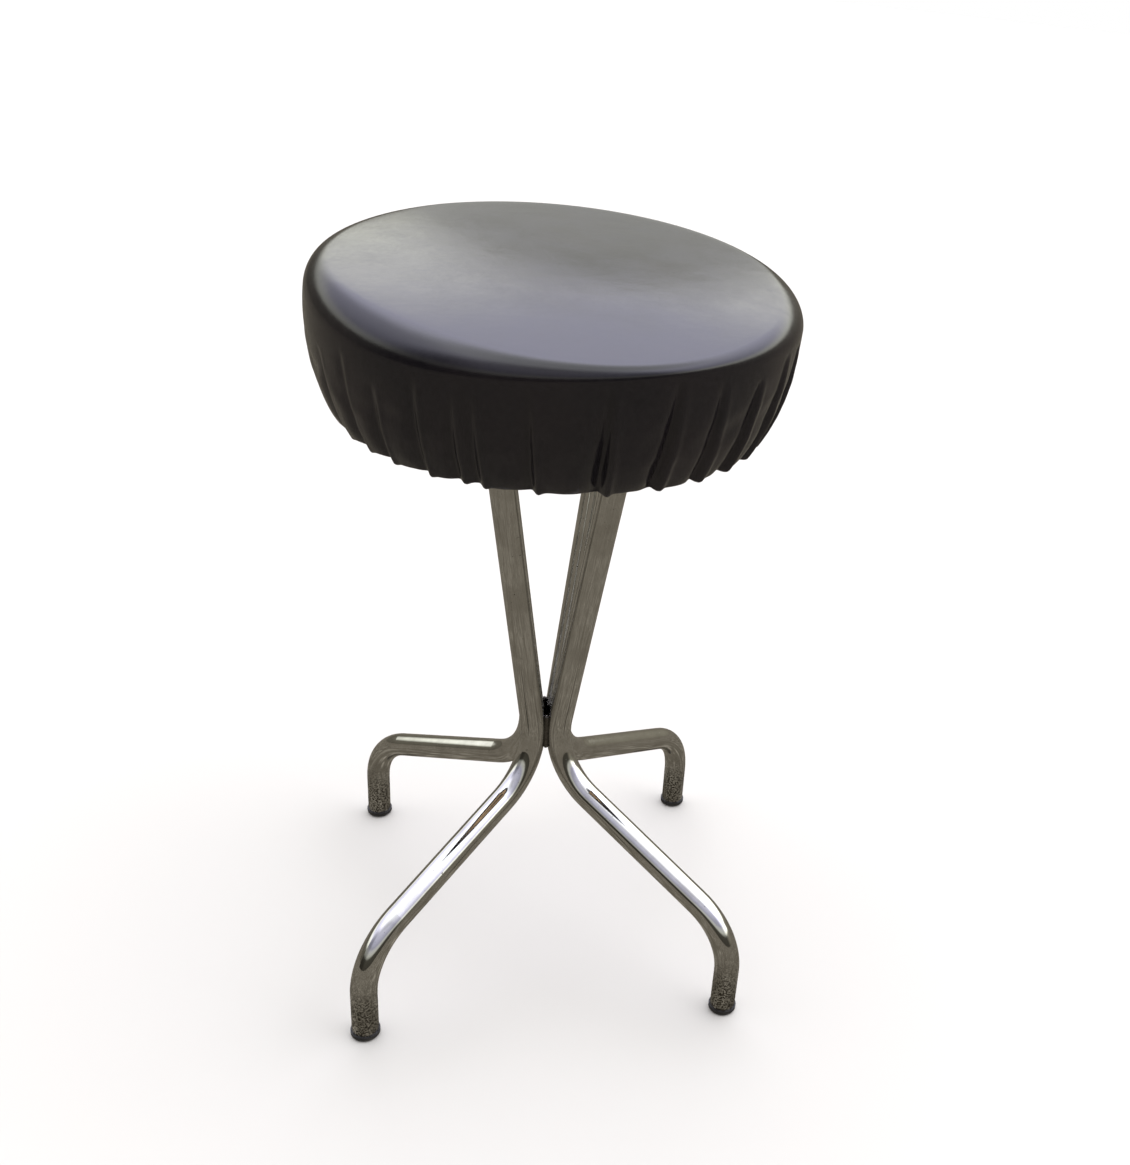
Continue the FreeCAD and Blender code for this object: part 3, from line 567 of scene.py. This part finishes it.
def make_cover(material):
    """The vinyl cover, gathered below the shoulder and stapled under the board."""
    rng = np.random.default_rng(7)
    points = seat_grid(0.0)
    folds = make_folds(rng)
    outward = grid_normals(points)
    on_flank = np.arange(len(points))[:, None] > FLANK_START
    outward[..., 2] = np.where(on_flank, 0.0, outward[..., 2])
    inward, drop = gather(points, folds)
    inward[HEM_START + 1:] *= np.linspace(*HEM_FOLD_FADE, HEM_ROWS)[:, None]
    drop[HEM_START + 1:] *= np.linspace(*HEM_DROP_FADE, HEM_ROWS)[:, None]
    share = depth_share(points)
    shaped = points - outward * inward[..., None]
    shaped += swell(points, folds)
    shaped[..., 2] += sit_in(points) * np.clip(1 - 3 * share, 0, 1) - drop
    shaped -= np.array(ASIDE) * COVER_LEAN * share[..., None] ** 0.7
    cover = grid_mesh("seat_cover_gathered", shaped, material)
    thickness = cover.modifiers.new("thickness", "SOLIDIFY")
    thickness.thickness = COVER_THICKNESS
    thickness.offset = -1.0
    return cover


# How the foam keeps clear of the cover and the board.
FOAM_INSET_TOP, FOAM_INSET_FLANK = 0.0020, 0.0048
FOAM_FADE_ROWS = 12
FOAM_SINK = 0.0006
FOAM_TAPER = 0.045
FOAM_BOTTOM = BOARD_TOP + 0.0004
FOAM_LAST_ROW = FLANK_START + FLANK_ROWS - 4
FOAM_CENTRE = 0.02


def make_foam(material):
    """The foam inside the cover, kept clear of the folds."""
    near, far = seat_grid(FOAM_INSET_TOP), seat_grid(FOAM_INSET_FLANK)
    share = np.clip((np.arange(len(near)) - FLANK_START) / FOAM_FADE_ROWS, 0, 1)[:, None, None]
    points = near * (1 - share) + far * share
    points[..., 2] += sit_in(points) * (1 - share[..., 0]) - FOAM_SINK
    points[..., :2] *= 1.0 - FOAM_TAPER * share
    points = points[:FOAM_LAST_ROW]
    points[..., 2] = np.maximum(points[..., 2], FOAM_BOTTOM)
    lowest = points[-1] * [1, 1, 0] + [0, 0, FOAM_BOTTOM]
    inner = lowest * [FOAM_CENTRE, FOAM_CENTRE, 1.0]
    return grid_mesh("foam_core", np.concatenate([points, lowest[None], inner[None]]), material)


make_camera()
cover = make_cover(vinyl_material())
foam = make_foam(foam_material())
for piece, node, slot, fill in ((cover, "seat_cover", "vinyl", 0.85), (foam, "foam_pad", "foam", 0.9)):
    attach(piece, "root")
    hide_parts(node)

MATERIALS = {
    "chrome_tube": chrome_material(),
    "glide_plastic": plastic_material(),
    "weld_metal": weld_material(),
    "plate_steel": steel_material("plate_steel", (0.34, 0.34, 0.34), (0.20, 0.19, 0.175), 24.0, 0.32, 0.5),
    "zinc_steel": steel_material("zinc_steel", (0.62, 0.62, 0.60), (0.45, 0.45, 0.42), 120.0, 0.22, 0.36),
    "plywood": plywood_material(),
    "staple_wire": steel_material("staple_wire", (0.65, 0.65, 0.63), (0.42, 0.40, 0.36), 300.0, 0.25, 0.4),
}
for part in frame["record"]["subparts"]:
    node = nodes[part["node"]]
    if part["material_slot"] in MATERIALS:
        node.data.materials.clear()
        node.data.materials.append(MATERIALS[part["material_slot"]])


# ---------------------------------------------------------------- floor, world and light


FLOOR_SIZE = 30.0
GROUND_HEIGHT = -0.001


def card(name, height, material):
    """A level square card that belongs to the stage."""
    mesh = bpy.data.meshes.new(name)
    half = FLOOR_SIZE / 2
    corners = [(-half, -half, 0), (half, -half, 0), (half, half, 0), (-half, half, 0)]
    mesh.from_pydata(corners, [], [(0, 1, 2, 3)])
    mesh.materials.append(material)
    piece = bpy.data.objects.new(name, mesh)
    piece.location.z = height
    bpy.context.scene.collection.objects.link(piece)
    return piece


def make_floor():
    """A pale floor, clear from below, and a darker gritty ground that shows only in reflections."""
    pale = Shader("floor_pale", Base_Color=(0.66, 0.64, 0.56, 1), Roughness=0.9)
    floor = card("floor", 0.0, pale.material)
    floor.visible_glossy = False
    from_below = pale.add("ShaderNodeNewGeometry").outputs["Backfacing"]
    clear = pale.add("ShaderNodeBsdfTransparent").outputs["BSDF"]
    one_sided = pale.mix_shaders(from_below, pale.surface.outputs["BSDF"], clear)
    pale.feed(pale.tree.nodes["Material Output"].inputs["Surface"], one_sided)
    grit = Shader("ground_grit", Base_Color=(0, 0, 0, 1), Specular_IOR_Level=0.0, Emission_Strength=1.0)
    stones = grit.cells(42.0)
    dust = grit.noise(90.0, 4.0, 0.7)
    colour = grit.mix(grit.spread(stones, 0.15, 0.6), (0.46, 0.42, 0.35), (0.18, 0.16, 0.125))
    colour = grit.mix(grit.spread(dust, 0.42, 0.62, 0.0, 0.7), colour, (0.14, 0.125, 0.10))
    grit.feed(grit.surface.inputs["Emission Color"], colour)
    ground = card("ground", GROUND_HEIGHT, grit.material)
    ground.visible_camera = False
    ground.visible_diffuse = False
    ground.visible_shadow = False


# Elevation in degrees and radiance of the sky; a grey bank in it, by place aside and up; and the share of
# the sky's light that is left over the range of directions towards each dim wall.
SKY_STOPS = (
    (-90.0, (0.10, 0.095, 0.085)),
    (-2.0, (0.18, 0.16, 0.125)),
    (3.0, (0.25, 0.23, 0.18)),
    (13.5, (0.30, 0.28, 0.22)),
    (18.0, (2.45, 2.48, 2.20)),
    (25.0, (2.45, 2.45, 2.50)),
    (29.0, (1.80, 1.80, 2.20)),
    (38.0, (2.30, 2.30, 2.85)),
    (52.0, (3.10, 3.10, 3.70)),
    (70.0, (2.40, 2.45, 2.60)),
    (90.0, (2.00, 2.05, 2.15)),
)
BANK_COLOUR = (0.84, 0.84, 0.78)
BANK_CENTRE, BANK_SIZE = (-0.13, 0.20), (0.19, 0.225)
BANK_EDGE = (0.88, 1.08)
WALL_BEHIND = (-0.55, -0.1, 0.25, 1.0)
WALL_LEFT = (-0.62, -0.38, 0.58, 1.0)


def make_world():
    """An overcast sky over a dim horizon for light and reflections, on a white background."""
    world = bpy.data.worlds.new("overcast")
    bpy.context.scene.world = world
    world.use_nodes = True
    world.node_tree.nodes.clear()
    tree = NodeTree(world.node_tree)
    direction = tree.add("ShaderNodeTexCoord").outputs["Generated"]

    def along(axis):
        """How far the direction points along an axis, from -1 to 1."""
        node = tree.add("ShaderNodeVectorMath")
        node.operation = "DOT_PRODUCT"
        tree.feed(node.inputs[0], direction)
        tree.feed(node.inputs[1], axis)
        return node.outputs["Value"]

    up, away, aside = along((0, 0, 1)), along(AWAY), along(ASIDE)
    ramp = tree.add("ShaderNodeValToRGB", Fac=tree.math("MULTIPLY_ADD", up, 0.5, 0.5))
    elements = ramp.color_ramp.elements
    brightest = max(max(colour) for _, colour in SKY_STOPS)
    for index, (elevation, colour) in enumerate(SKY_STOPS):
        position = math.sin(math.radians(elevation)) / 2 + 0.5
        element = elements[index] if index < 2 else elements.new(position)
        element.position = position
        element.color = (*[channel / brightest for channel in colour], 1)

    # A hazy grey bank low in the sky beyond the stool, and a dim wall behind the camera and at its left.
    across, height = (
        tree.math("POWER", tree.math("DIVIDE", tree.math("SUBTRACT", part, centre), size), 2.0)
        for part, centre, size in zip((aside, up), BANK_CENTRE, BANK_SIZE)
    )
    bank = tree.spread(tree.math("SQRT", tree.math("ADD", across, height)), *BANK_EDGE, 1.0, 0.0)
    bank = tree.math("MULTIPLY", bank, tree.spread(away, 0.0, 0.3))
    hazy = tree.mix(bank, ramp.outputs["Color"], [channel / brightest for channel in BANK_COLOUR])
    dimmed = tree.math("MULTIPLY", tree.spread(away, *WALL_BEHIND), tree.spread(aside, *WALL_LEFT))
    strength = tree.math("MULTIPLY", dimmed, brightest)
    sky = tree.add("ShaderNodeBackground", Color=hazy, Strength=strength).outputs["Background"]
    white = tree.add("ShaderNodeBackground", Color=(1, 1, 1, 1), Strength=1.0).outputs["Background"]
    seen = tree.add("ShaderNodeLightPath").outputs["Is Camera Ray"]
    tree.add("ShaderNodeOutputWorld", Surface=tree.mix_shaders(seen, sky, white))


make_floor()
make_world()
bpy.context.scene.view_settings.view_transform = "Standard"
